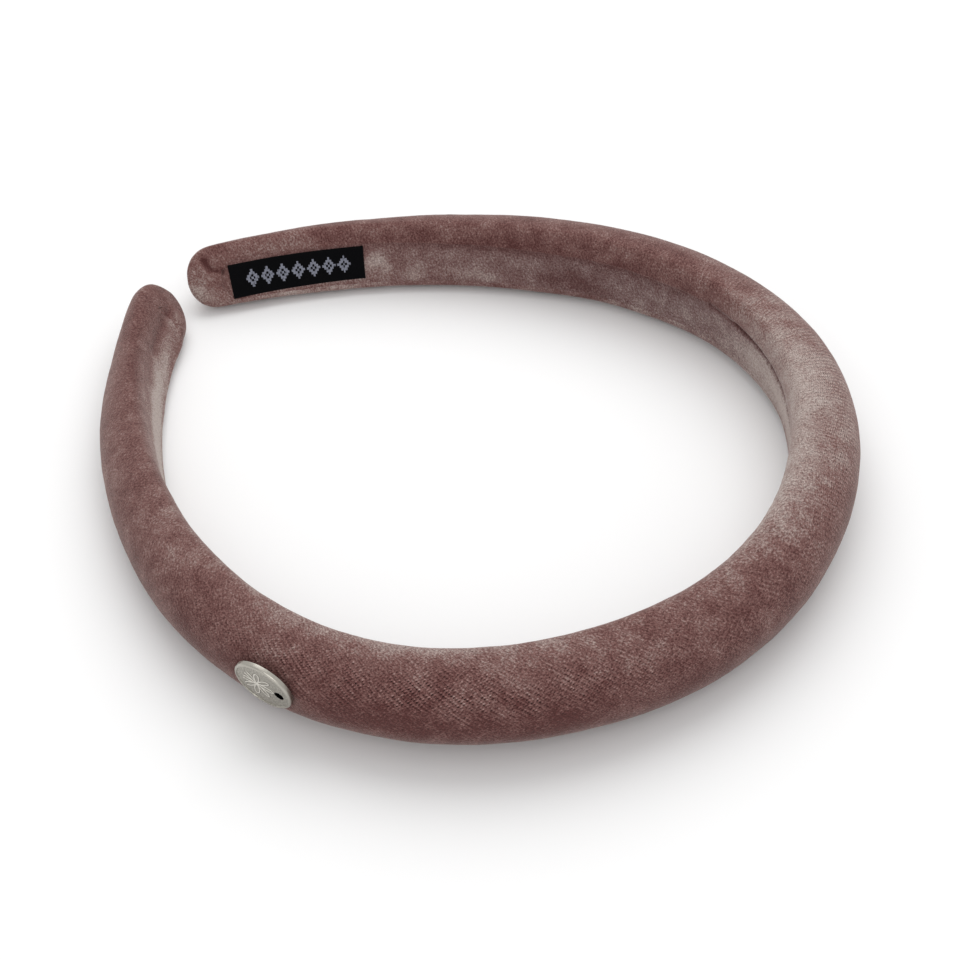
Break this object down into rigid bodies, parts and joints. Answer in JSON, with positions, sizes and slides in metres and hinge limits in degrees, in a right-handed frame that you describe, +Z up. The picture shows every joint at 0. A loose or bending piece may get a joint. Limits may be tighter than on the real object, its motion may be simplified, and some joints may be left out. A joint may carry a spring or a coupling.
{
  "type": "padded headband",
  "caption": "C-shaped padded velvet headband lying on its side, with an inner lining strip, a small woven label and a round metal tag.",
  "frame": {"origin": "centre of the band's bounding box, on the floor that it lies on", "axes": "+Z up, across the band's width; +X from the open end to the crown; +Y towards the arm with the woven label"},
  "size_m": [0.1556, 0.1464, 0.0205],
  "materials": {
    "velvet_cover": "dusty mauve short-pile velvet over foam, mottled where the pile is brushed",
    "velvet_lining": "the same velvet, a little greyer, glued flat",
    "label_weave": "black woven ribbon with a pale grey woven motif",
    "tag_metal": "bright silver plating, polished rim and finely engraved face"
  },
  "bodies": {
    "root": {"padded_cover": "velvet_cover", "inner_lining": "velvet_lining", "woven_label": "label_weave", "round_tag": "tag_metal"}
  },
  "joints": []
}
